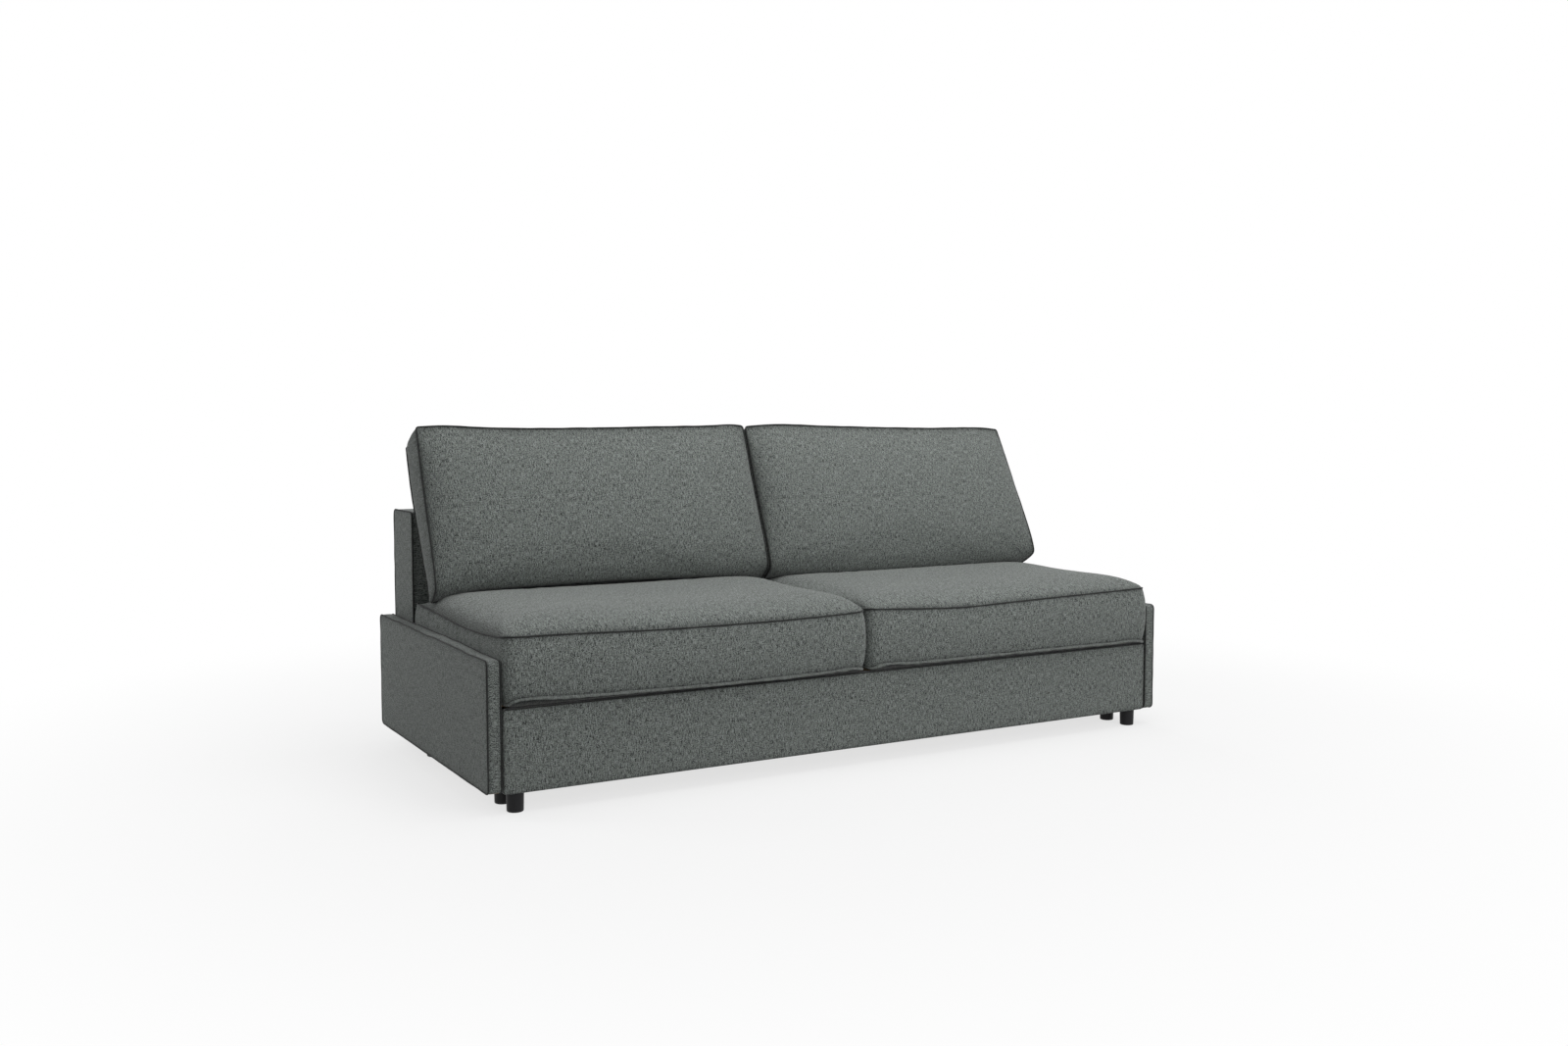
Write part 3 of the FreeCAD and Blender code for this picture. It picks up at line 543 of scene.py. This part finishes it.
def piping(name, loop, radius, body, material, out, seed, reach=1.0):
    """Sewn cord along a closed seam; out points away from the cushion at every point."""
    ahead = unit(loop_ahead(loop))
    out = unit(out - (out * ahead).sum(1)[:, None] * ahead)
    across = np.cross(ahead, out)
    thick = radius * (1 + CORD_CHANGE * ripples(loop, CORD_CHANGE_LENGTH, seed))
    points = []
    for k in range(CORD_SIDES):
        angle = 2 * math.pi * k / CORD_SIDES
        offset = out * (reach * math.cos(angle)) + across * math.sin(angle)
        points.append(loop + offset * thick[:, None])
    points = np.stack(points, 1)
    count = len(loop)
    index = np.arange(count * CORD_SIDES).reshape(count, CORD_SIDES)
    turned, along = np.roll(index, -1, 1), np.roll(index, -1, 0)
    quads = np.stack([index, along, np.roll(along, -1, 1), turned], -1).reshape(-1, 4)
    lengths = np.linalg.norm(np.roll(loop, -1, 0) - loop, axis=1)
    travel = np.concatenate([[0.0], np.cumsum(lengths)])
    step = 2 * math.pi * radius / CORD_SIDES
    layout = np.zeros((count, CORD_SIDES, 4, 2))
    for k in range(CORD_SIDES):
        for corner, (places, turn) in enumerate(((travel[:-1], k), (travel[1:], k),
                                                 (travel[1:], k + 1), (travel[:-1], k + 1))):
            layout[:, k, corner] = np.stack([places, np.full(count, turn * step)], 1)
    piece = smooth_piece(name, points.reshape(-1, 3), quads, layout, material)
    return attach(piece, body)


# Materials

def new_material(name):
    """Empty node material with its nodes, links and Principled shader."""
    material = bpy.data.materials.new(name)
    material.use_nodes = True
    tree = material.node_tree
    return material, tree.nodes, tree.links, tree.nodes["Principled BSDF"]


def feed(links, socket, value):
    """Link a socket to another, or set its value."""
    if isinstance(value, bpy.types.NodeSocket):
        links.new(value, socket)
    else:
        socket.default_value = value


def math_node(n, links, operation, *values):
    """One Math node fed by sockets or numbers."""
    node = n.new("ShaderNodeMath")
    node.operation = operation
    for slot, value in enumerate(values):
        feed(links, node.inputs[slot], value)
    return node.outputs[0]


def color_mix(n, links, factor, first, second, blend="MIX"):
    """One colour Mix node fed by sockets, numbers or colours."""
    node = n.new("ShaderNodeMix")
    node.data_type = "RGBA"
    node.blend_type = blend
    for name, value in (("Factor", factor), ("A", first), ("B", second)):
        feed(links, node.inputs[name], value)
    return node.outputs["Result"]


def map_range(n, links, value, **limits):
    """One Map Range node; limits are its From and To values."""
    node = n.new("ShaderNodeMapRange")
    for name, limit in limits.items():
        node.inputs[name.replace("_", " ").title()].default_value = limit
    links.new(value, node.inputs["Value"])
    return node.outputs["Result"]


def noise_node(n, links, vector, scale, detail=2.0, roughness=0.5):
    """Noise texture value; a scale of three numbers stretches it along the axes."""
    if not isinstance(scale, float):
        mapping = n.new("ShaderNodeMapping")
        mapping.inputs["Scale"].default_value = scale
        links.new(vector, mapping.inputs["Vector"])
        vector, scale = mapping.outputs["Vector"], 1.0
    node = n.new("ShaderNodeTexNoise")
    node.inputs["Scale"].default_value = scale
    node.inputs["Detail"].default_value = detail
    node.inputs["Roughness"].default_value = roughness
    links.new(vector, node.inputs["Vector"])
    return node.outputs["Fac"]


def add_bump(n, links, shader, height, strength, distance):
    """Surface relief from a height value."""
    bump = n.new("ShaderNodeBump")
    bump.inputs["Strength"].default_value = strength
    bump.inputs["Distance"].default_value = distance
    links.new(height, bump.inputs["Height"])
    links.new(bump.outputs["Normal"], shader.inputs["Normal"])


def mix_shaders(n, links, factor, first, second, output):
    """Blend of two shaders into the tree's output."""
    mix = n.new("ShaderNodeMixShader")
    links.new(factor, mix.inputs["Fac"])
    links.new(first, mix.inputs[1])
    links.new(second, mix.inputs[2])
    links.new(mix.outputs["Shader"], n[output].inputs["Surface"])


def seen_directly(n, links):
    """One for rays from the camera or a mirroring surface, zero for the others."""
    path = n.new("ShaderNodeLightPath")
    rays = path.outputs["Is Camera Ray"], path.outputs["Is Glossy Ray"]
    return math_node(n, links, "MAXIMUM", *rays)


def fabric_material(name, tint, contrast, painted_shade_share=0.0):
    """Melange weave: speckled threads, long slubs, soft nap and painted shade in the creases at
    the seams.
    """
    material, n, links, shader = new_material(name)
    place = n.new("ShaderNodeUVMap")
    place.uv_map = "cloth"
    layout = place.outputs["UV"]
    split = n.new("ShaderNodeSeparateXYZ")
    links.new(layout, split.inputs[0])
    waves = [math_node(n, links, "SINE", math_node(n, links, "MULTIPLY", split.outputs[axis],
                                                   math.pi / WEAVE_PITCH)) for axis in "XY"]
    weave = math_node(n, links, "ABSOLUTE", math_node(n, links, "MULTIPLY", *waves))
    noises, tone = {}, None
    for label, (scale, detail, roughness, share) in WEAVE_NOISES.items():
        noises[label] = noise_node(n, links, layout, scale, detail, roughness)
        part = math_node(n, links, "MULTIPLY_ADD", noises[label], share, -share / 2)
        tone = part if tone is None else math_node(n, links, "ADD", tone, part)
    dark = [c * (1 - contrast) for c in tint]
    light = [c * (1 + FABRIC_LIGHT * contrast) for c in tint]
    speckle = map_range(n, links, tone, from_min=-FABRIC_RANGE, from_max=FABRIC_RANGE)
    color = color_mix(n, links, speckle, (*dark, 1.0), (*light, 1.0))
    shift = noise_node(n, links, layout, HUE_SCALE)
    hue = color_mix(n, links, shift, HUE_GREEN, HUE_BLUE)
    color = color_mix(n, links, 1.0, color, hue, "MULTIPLY")
    # Painted shade: the colour darkens by the point attribute's painted shade
    if painted_shade_share:
        near = n.new("ShaderNodeAttribute")
        near.attribute_name = "painted_shade"
        shade = math_node(n, links, "MULTIPLY_ADD", near.outputs["Fac"], -painted_shade_share, 1.0)
        color = color_mix(n, links, 1.0, color, shade, "MULTIPLY")
    links.new(color, shader.inputs["Base Color"])
    height = math_node(n, links, "MULTIPLY_ADD", weave, WEAVE_HEIGHT, noises["speck"])
    slubs = math_node(n, links, "MULTIPLY", noises["slub"], SLUB_HEIGHT)
    add_bump(n, links, shader, math_node(n, links, "ADD", height, slubs), *FABRIC_RELIEF)
    shader.inputs["Roughness"].default_value = 0.92
    shader.inputs["Specular IOR Level"].default_value = 0.25
    shader.inputs["Sheen Weight"].default_value = 0.22
    shader.inputs["Sheen Roughness"].default_value = 0.45
    return material


def wood_material(name, along, pale, dark, spot_share):
    """Planed softwood with long grain along one axis."""
    material, n, links, shader = new_material(name)
    place = n.new("ShaderNodeTexCoord").outputs["Object"]
    noises, parts = {}, []
    for label, (across_scale, along_scale, detail, roughness, share) in WOOD_NOISES.items():
        scale = [along_scale if axis == along else across_scale for axis in "XYZ"]
        noises[label] = noise_node(n, links, place, scale, detail, roughness)
        parts.append(math_node(n, links, "MULTIPLY", noises[label], share))
    grain = math_node(n, links, "ADD", *parts)
    spots = noise_node(n, links, place, SPOT_SCALE)
    spotted = math_node(n, links, "MULTIPLY_ADD", spots, spot_share, -spot_share / 2)
    ramp = n.new("ShaderNodeValToRGB")
    ramp.color_ramp.elements[0].position = WOOD_DARK_PLACE
    ramp.color_ramp.elements[0].color = (*dark, 1.0)
    ramp.color_ramp.elements[1].position = WOOD_PALE_PLACE
    ramp.color_ramp.elements[1].color = (*pale, 1.0)
    links.new(math_node(n, links, "ADD", spotted, grain), ramp.inputs["Fac"])
    links.new(ramp.outputs["Color"], shader.inputs["Base Color"])
    add_bump(n, links, shader, noises["fine"], *WOOD_RELIEF)
    shader.inputs["Roughness"].default_value = 0.6
    return material


def plain_material(name, color, roughness, metallic, relief, grain_scale, spread, specular=0.5):
    """Moulded or plated surface with fine texture and slight colour variation."""
    material, n, links, shader = new_material(name)
    place = n.new("ShaderNodeTexCoord").outputs["Object"]
    fine = noise_node(n, links, place, grain_scale, *PLAIN_NOISE)
    broad = noise_node(n, links, place, BROAD_SCALE)
    blend = math_node(n, links, "MULTIPLY", math_node(n, links, "ADD", fine, broad), 0.5)
    darker = [c * (1 - spread) for c in color]
    lighter = [min(1.0, c * (1 + spread)) for c in color]
    tone = color_mix(n, links, blend, (*darker, 1.0), (*lighter, 1.0))
    links.new(tone, shader.inputs["Base Color"])
    rough = map_range(n, links, broad, to_min=roughness - ROUGHNESS_SPREAD,
                      to_max=roughness + ROUGHNESS_SPREAD)
    links.new(rough, shader.inputs["Roughness"])
    add_bump(n, links, shader, fine, relief, PLAIN_RELIEF_DEPTH)
    shader.inputs["Metallic"].default_value = metallic
    shader.inputs["Specular IOR Level"].default_value = specular
    return material


def floor_material():
    """Pale floor that keeps a soft shadow near the sofa and fades to white away from it."""
    material, n, links, shader = new_material("floor")
    shader.inputs["Roughness"].default_value = FLOOR_ROUGHNESS
    seen = seen_directly(n, links)
    links.new(color_mix(n, links, seen, FLOOR_BOUNCE, FLOOR_SEEN), shader.inputs["Base Color"])
    distance = n.new("ShaderNodeVectorMath")
    distance.operation = "LENGTH"
    links.new(n.new("ShaderNodeTexCoord").outputs["Object"], distance.inputs[0])
    fade = map_range(n, links, distance.outputs["Value"], from_min=FLOOR_FADE[0],
                     from_max=FLOOR_FADE[1], to_min=FLOOR_WHITE)
    fade.node.interpolation_type = "SMOOTHSTEP"
    white = n.new("ShaderNodeEmission")
    white.inputs["Color"].default_value = WHITE
    mix_shaders(n, links, math_node(n, links, "MULTIPLY", fade, seen), shader.outputs["BSDF"],
                white.outputs["Emission"], "Material Output")
    return material


cloth = fabric_material("melange_fabric", FABRIC, CLOTH_CONTRAST, PAINTED_SHADE_DARK)
# The cord's dark tint is painted shade of the crease around each seam, not a darker fabric
shaded_cord_cloth = fabric_material("shaded_piping_fabric", [c * CORD_SHADE_TINT for c in FABRIC], CORD_CONTRAST)
welt_cloth = fabric_material("welt_fabric", [c * WELT_TINT for c in FABRIC], CORD_CONTRAST)


# Cushions

def band(values, level):
    """Bulge share over the height of a boxing strip, zero at both seams."""
    return values * (1 - np.abs(2 * level - 1) ** BAND_FLATNESS) ** BAND_ROUNDNESS


def seat_cushion(side, sign):
    """Seat cushion with its crowned top, bulged front, raised low seam and flat underside."""
    low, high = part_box("seat_cushion_cover_" + side)
    # The outer end has the whole inset and the inner end half of it
    inset_low = SEAT_END_INSET if sign < 0 else SEAT_END_INSET / 2
    width = high.x - low.x - 1.5 * SEAT_END_INSET
    depth = high.y - (low.y + SEAT_FRONT_BULGE)
    form = Form(width, depth, SEAT_STRIP, SEAT_CORNER)
    x, y = form.xy[:, 0], form.xy[:, 1]
    place_x, place_y = low.x + inset_low + x, low.y + SEAT_FRONT_BULGE + y
    near_left, near_right, near_front, near_rear = form.edges()
    near_sides = near_front, near_rear, near_left, near_right
    weights = [1 / (distance + SEAT_SEAM_BLEND) ** 2 for distance in near_sides]
    front_rim = smooth_steps(place_x, SEAT_TOP_FRONT[side])
    side_rim = smooth_steps(place_y, SEAT_TOP_SIDE)
    top_seam = (weights[0] * front_rim + weights[1] * SEAT_TOP_REAR
                + (weights[2] + weights[3]) * side_rim) / sum(weights)
    low_front = smooth_steps(place_x, SEAT_LOW_FRONT[side])
    low_side = smooth_steps(place_y, SEAT_LOW_SIDE)
    low_seam = (weights[0] * low_front
                + (weights[1] + weights[2] + weights[3]) * low_side) / sum(weights)
    ends = rising(near_left, *SEAT_END_RISE) * rising(near_right, *SEAT_END_RISE)
    at_end = np.exp(-np.minimum(near_left, near_right) / SEAT_END_BLEND)
    front = (rising(near_front, *SEAT_FRONT_RISE) * (1 - at_end)
             + rising(near_front, *SEAT_FRONT_END_RISE) * at_end)
    crown = SEAT_CROWN[side] * ends * front * rising(near_rear, *SEAT_REAR_RISE)
    short = np.clip(1 - form.seam_distance / SEAT_UNDERSIDE, 0, 1) ** SEAT_UNDERSIDE_POWER
    under = low_seam * (1 - short)
    height = low_seam + (top_seam - low_seam) * form.level
    height = np.where(form.face > 0, top_seam + crown, height)
    height = np.where(form.face < 0, low_seam - under, height)
    bulge = (SEAT_FRONT_BULGE * np.clip(-form.out[:, 1], 0, 1)
             + SEAT_SIDE_BULGE * np.clip(sign * form.out[:, 0], 0, 1)
             + SEAT_INNER_BULGE * np.clip(-sign * form.out[:, 0], 0, 1)
             + SEAT_REAR_BULGE * np.clip(form.out[:, 1], 0, 1))
    push = band(bulge, form.level)
    points = np.stack([place_x + form.out[:, 0] * push, place_y + form.out[:, 1] * push,
                       low.z + height], 1)
    return form, points


def back_cushion(side, sign):
    """Back cushion leaning on the back frame: piped gusset, belly over the seat, pinched ends."""
    low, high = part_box("back_cushion_cover_" + side)
    form = Form(high.x - low.x, BACK_HEIGHT, BACK_THICKNESS, BACK_CORNER)
    x, y = form.xy[:, 0], form.xy[:, 1]
    place_x = low.x + x
    near_left, near_right = form.edges()[:2]
    near_end = np.minimum(near_left, near_right)
    ends = rising(near_left, *BACK_END_RISE) * rising(near_right, *BACK_END_RISE)

    def profile(points, column):
        return smooth_steps(y, [(p[0], p[column]) for p in points])

    share = np.where(form.face > 0, ends, 0.0)
    middle = rising(near_end, *BACK_MIDDLE_RISE)
    front_depth = profile(BACK_FRONT_END, 1) * (1 - share) + profile(BACK_FRONT_MIDDLE, 1) * share
    front_rise = profile(BACK_FRONT_END, 2) * (1 - middle) + profile(BACK_FRONT_MIDDLE, 2) * middle
    pinch = np.exp(-(near_end / BACK_PINCH_REACH) ** 2)
    rear_depth = BACK_THICKNESS - (BACK_THICKNESS - profile(BACK_REAR_END, 1)) * pinch
    rear_rise = (y + (rear_depth * BACK_REST_SHEAR * (1 - y / BACK_HEIGHT))
                 - BACK_PINCH_DROP * pinch * (y / BACK_HEIGHT) ** BACK_PINCH_POWER)
    up_share = np.clip(y / BACK_HEIGHT, 0, 1)
    swell = np.sin(np.pi * up_share) ** BACK_REAR_POWER
    rear_depth = rear_depth + np.where(form.face < 0, BACK_REAR_CROWN * ends * swell, 0.0)
    depth = rear_depth + (front_depth - rear_depth) * form.level
    rise = rear_rise + (front_rise - rear_rise) * form.level
    inner = sign * form.out[:, 0] < -0.5
    push = band(np.where(inner, BACK_INNER_BULGE, BACK_SIDE_BULGE), form.level)
    rise += np.clip(form.out[:, 1], 0, 1) * push
    rise += smooth_steps(place_x, BACK_TOP_EDGE[side]) * up_share ** BACK_EDGE_POWER
    rise += smooth_steps(place_x, BACK_LOW_EDGE[side]) * (1 - up_share) ** BACK_EDGE_POWER
    near_outer = near_right if sign > 0 else near_left
    outer = np.clip(1 - near_outer / BACK_CORNER_WIDTH, 0, 1) ** 2
    depth -= outer * (BACK_CORNER_REACH[side] * (1 - up_share) ** BACK_REACH_POWER
                      - BACK_CORNER_SET_BACK[side] * up_share ** BACK_SET_BACK_POWER)
    grown = BACK_FOOT_DRAW + (1 - BACK_FOOT_DRAW) * up_share ** BACK_DRAW_POWER
    draw = sign * outer * BACK_CORNER_DRAW[side] * grown
    draw += sign * outer * BACK_LOW_DRAW[side] * np.clip(1 - y / BACK_LOW_DRAW_HEIGHT, 0, 1)
    points_y = BACK_FOOT[0] + rise * math.sin(BACK_LEAN) + depth * math.cos(BACK_LEAN)
    points_z = BACK_FOOT[1] + rise * math.cos(BACK_LEAN) - depth * math.sin(BACK_LEAN)
    return form, np.stack([place_x + form.out[:, 0] * push - draw, points_y, points_z], 1)


def back_shade(form):
    """Painted shade towards the ends and the low edge of a back cushion."""
    near_left, near_right, near_low = form.edges()[:3]
    ends = np.exp(-near_left / BACK_SHADE_REACH) + np.exp(-near_right / BACK_SHADE_REACH)
    return BACK_END_SHADE * ends + BACK_LOW_SHADE * np.exp(-near_low / BACK_SHADE_REACH)


def seam_out(form, points, row):
    """Directions away from the form's middle, square to the seam and to its strip."""
    loop = points[form.rows[row]]
    beside = points[form.rows[1 if row == 0 else -2]] - loop
    out = np.cross(unit(loop_ahead(loop)), unit(beside))
    outward = ((loop - loop.mean(0)) * out).sum(1) >= 0
    return out * np.where(outward, 1.0, -1.0)[:, None]


def seams_held(form):
    """Weights that hold both seams in place."""
    held = np.zeros(len(form.level))
    held[form.rows[0]] = held[form.rows[-1]] = 1.0
    return held


for side, sign in SIDES:
    form, points = seat_cushion(side, sign)
    held = np.where(form.face < 0, 1.0, seams_held(form))
    points = settle(form, points, held)
    body = "seat_cushion_" + side
    cushion = make_mesh(body, form, points, body, cloth,
                        ("seat_cushion_cover_" + side, "seat_cushion_core_" + side),
                        shade=np.where(form.face < 0, SEAT_UNDER_SHADE, 0.0))
    out = seam_out(form, points, -1)
    loop = points[form.rows[-1]] + out * SEAT_SEAM_RADIUS * SEAM_SINK
    piping(body + "_top_piping", loop, SEAT_SEAM_RADIUS, body, shaded_cord_cloth, out,
           CORD_SEEDS["seat_top"])
    # The low seam is drawn in at both ends, clear of the side panel and the other cushion
    out = seam_out(form, points, 0)
    loop = points[form.rows[0]] + out * SEAT_WELT_RADIUS
    sideways = form.out[form.rows[0]][:, 0]
    loop[:, 0] -= sideways * np.where(sign * sideways > 0, *SEAT_WELT_DRAW)
    piping(body + "_low_piping", loop, SEAT_WELT_RADIUS, body, welt_cloth, out,
           CORD_SEEDS["seat_low"], SEAT_WELT_REACH)

for side, sign in SIDES:
    form, points = back_cushion(side, sign)
    points = settle(form, points, seams_held(form))
    body = "back_cushion_" + side
    cushion = make_mesh(body, form, points, body, cloth,
                        ("back_cushion_cover_" + side, "back_cushion_core_" + side),
                        shade=back_shade(form))
    for row, label in ((-1, "front"), (0, "rear")):
        out = seam_out(form, points, row)
        loop = points[form.rows[row]] + out * BACK_SEAM_RADIUS * SEAM_SINK
        piping(body + "_" + label + "_piping", loop, BACK_SEAM_RADIUS, body, shaded_cord_cloth, out,
               CORD_SEEDS["back_" + label])


# Panels and back frame

def panel_layout(form, bulge):
    """Thickness, length and height of a panel's points, with puffed faces and soft edges."""
    share = np.ones(len(form.level))
    for distance in form.edges():
        share *= rising(distance, *PUFF_RISE)
    across = form.level * form.thickness + form.face * PANEL_PUFF * share
    push = band(np.full(len(across), bulge), form.level)
    return across, form.xy[:, 0] + form.out[:, 0] * push, form.xy[:, 1] + form.out[:, 1] * push


def panel_piping(name, form, points, seed):
    """Piping along both edges of a panel that stands along Y."""
    for row, label, lean in ((-1, "_right_piping", PANEL_PIPING_LEAN),
                             (0, "_left_piping", -PANEL_PIPING_LEAN)):
        loop, edge = points[form.rows[row]], form.out[form.rows[row]]
        out = np.stack([np.full(len(loop), lean), edge[:, 0], edge[:, 1]], 1)
        piping(name + label, loop, PANEL_PIPING, "base", shaded_cord_cloth, out, seed)


for side, sign in SIDES:
    low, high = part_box("side_panel_cover_" + side)
    form = Form(high.y - low.y, high.z - low.z - PANEL_LIFT[side], high.x - low.x, PANEL_CORNER,
                *PANEL_CELLS)
    across, along, up = panel_layout(form, PANEL_EDGE_BULGE)
    wave = ripples(np.stack([along, up, across], 1), PANEL_WAVE_LENGTH, PANEL_WAVE_SEED)
    wave *= PANEL_WAVE
    wave *= np.clip(up / PANEL_WAVE_HEIGHT, 0, 1) ** 3
    points = np.stack([low.x + across, low.y + along, low.z + PANEL_LIFT[side] + up + wave], 1)
    name = "side_panel_" + side
    make_mesh(name, form, points, "base", cloth,
              ("side_panel_cover_" + side, "side_panel_wadding_" + side))
    panel_piping(name, form, points, CORD_SEEDS["side_panel"])

low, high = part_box("front_panel_cover")
form = Form(high.x - low.x, high.z - low.z, high.y - low.y, FRONT_CORNER, *FRONT_CELLS)
across, along, up = panel_layout(form, FRONT_EDGE_BULGE)
points = np.stack([low.x + along, high.y - across, low.z + up], 1)
make_mesh("front_panel", form, points, "pull_unit", cloth,
          ("front_panel_cover", "front_panel_wadding"),
          shade=FRONT_TOP_SHADE * np.clip(form.out[:, 1], 0, 1))

low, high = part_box("back_frame_cover")
form = Form(high.y - low.y, high.z - low.z, high.x - low.x, FRAME_CORNER, *FRAME_CELLS)
across, along, up = panel_layout(form, FRAME_EDGE_BULGE)
points = np.stack([low.x + across, low.y + along, low.z + up], 1)
make_mesh("back_frame", form, points, "base", cloth, ("back_frame_cover", "back_frame_padding"))
panel_piping("back_frame", form, points, CORD_SEEDS["back_frame"])


# Woodwork, feet and metal keep their own shapes: material, nodes

FINISHES = (
    (wood_material("pine_across", "X", *PINE),
     ("fixed_front_rail", "fixed_rear_rail", "front_slat_rail", "rear_batten",
      "back_bottom_rail", "back_top_rail", "centre_block")),
    (wood_material("slat_wood", "Y", *SLAT), ("fixed_slats", "pull_slats")),
    (wood_material("pine_lengthwise", "Y", *PINE), ("side_rail_left", "side_rail_right")),
    (wood_material("pine_upright", "Z", *PINE),
     ("back_upright_left", "back_upright_middle", "back_upright_right",
      "fixed_front_block_left", "fixed_front_block_right", "rear_block_left",
      "rear_block_right", "front_block_left", "front_block_right")),
    (wood_material("panel_board", "X", *BOARD),
     ("front_panel_board", "back_front_board", "back_rear_board", "side_panel_board_left",
      "side_panel_board_right")),
    (plain_material("black_plastic", (0.010, 0.010, 0.011), roughness=0.50, metallic=0.0,
                    relief=0.25, grain_scale=900.0, spread=0.35, specular=0.22),
     ("centre_foot", "fixed_front_foot_left", "fixed_front_foot_right", "rear_foot_left",
      "rear_foot_right", "front_foot_left", "front_foot_right")),
    (plain_material("nylon", (0.70, 0.69, 0.64), roughness=0.45, metallic=0.0, relief=0.15,
                    grain_scale=600.0, spread=0.06),
     ("roller_left", "roller_right")),
    (plain_material("zinc_plate", (0.52, 0.53, 0.55), roughness=0.34, metallic=1.0, relief=0.2,
                    grain_scale=260.0, spread=0.16),
     ("runner_left", "runner_right", "roller_bracket_left", "roller_bracket_right",
      "side_panel_bolts", "rail_screws", "fixed_slat_screws", "back_frame_bolts",
      "pull_slat_screws", "front_rail_screws")),
)
for material, names in FINISHES:
    for name in names:
        mesh = nodes[name].data
        mesh.materials.clear()
        mesh.materials.append(material)


# Floor, light and camera

bpy.ops.mesh.primitive_plane_add(size=FLOOR_SIZE)
floor = bpy.context.object
floor.name = "floor"
floor.data.materials.append(floor_material())

world = bpy.data.worlds.new("studio")
bpy.context.scene.world = world
world.use_nodes = True
n, links = world.node_tree.nodes, world.node_tree.links
soft = n["Background"]
soft.inputs["Color"].default_value = WORLD_COLOR
soft.inputs["Strength"].default_value = WORLD_STRENGTH
backdrop = n.new("ShaderNodeBackground")
backdrop.inputs["Color"].default_value = WHITE
backdrop.inputs["Strength"].default_value = 1.0
mix_shaders(n, links, seen_directly(n, links), soft.outputs["Background"],
            backdrop.outputs["Background"], "World Output")


def softbox(name, place, target, size, power):
    """Large soft lamp aimed at a point."""
    data = bpy.data.lights.new(name, "AREA")
    data.shape = "RECTANGLE"
    data.size, data.size_y = size
    data.energy = power
    lamp = bpy.data.objects.new(name, data)
    bpy.context.scene.collection.objects.link(lamp)
    lamp.location = place
    away = [t - p for t, p in zip(target, place)]
    tilt = math.atan2(math.hypot(away[0], away[1]), -away[2])
    lamp.rotation_euler = (tilt, 0.0, math.atan2(away[1], away[0]) - math.pi / 2)


for lamp_row in LAMPS:
    softbox(*lamp_row)

camera_data = bpy.data.cameras.new("camera")
camera_data.lens = CAMERA_LENS
camera_data.sensor_width = CAMERA_SENSOR
camera = bpy.data.objects.new("camera", camera_data)
bpy.context.scene.collection.objects.link(camera)
camera.location = CAMERA_PLACE
camera.rotation_euler = (math.radians(CAMERA_TILT), 0.0, math.radians(CAMERA_TURN))
bpy.context.scene.camera = camera
bpy.context.scene.view_settings.view_transform = "Standard"
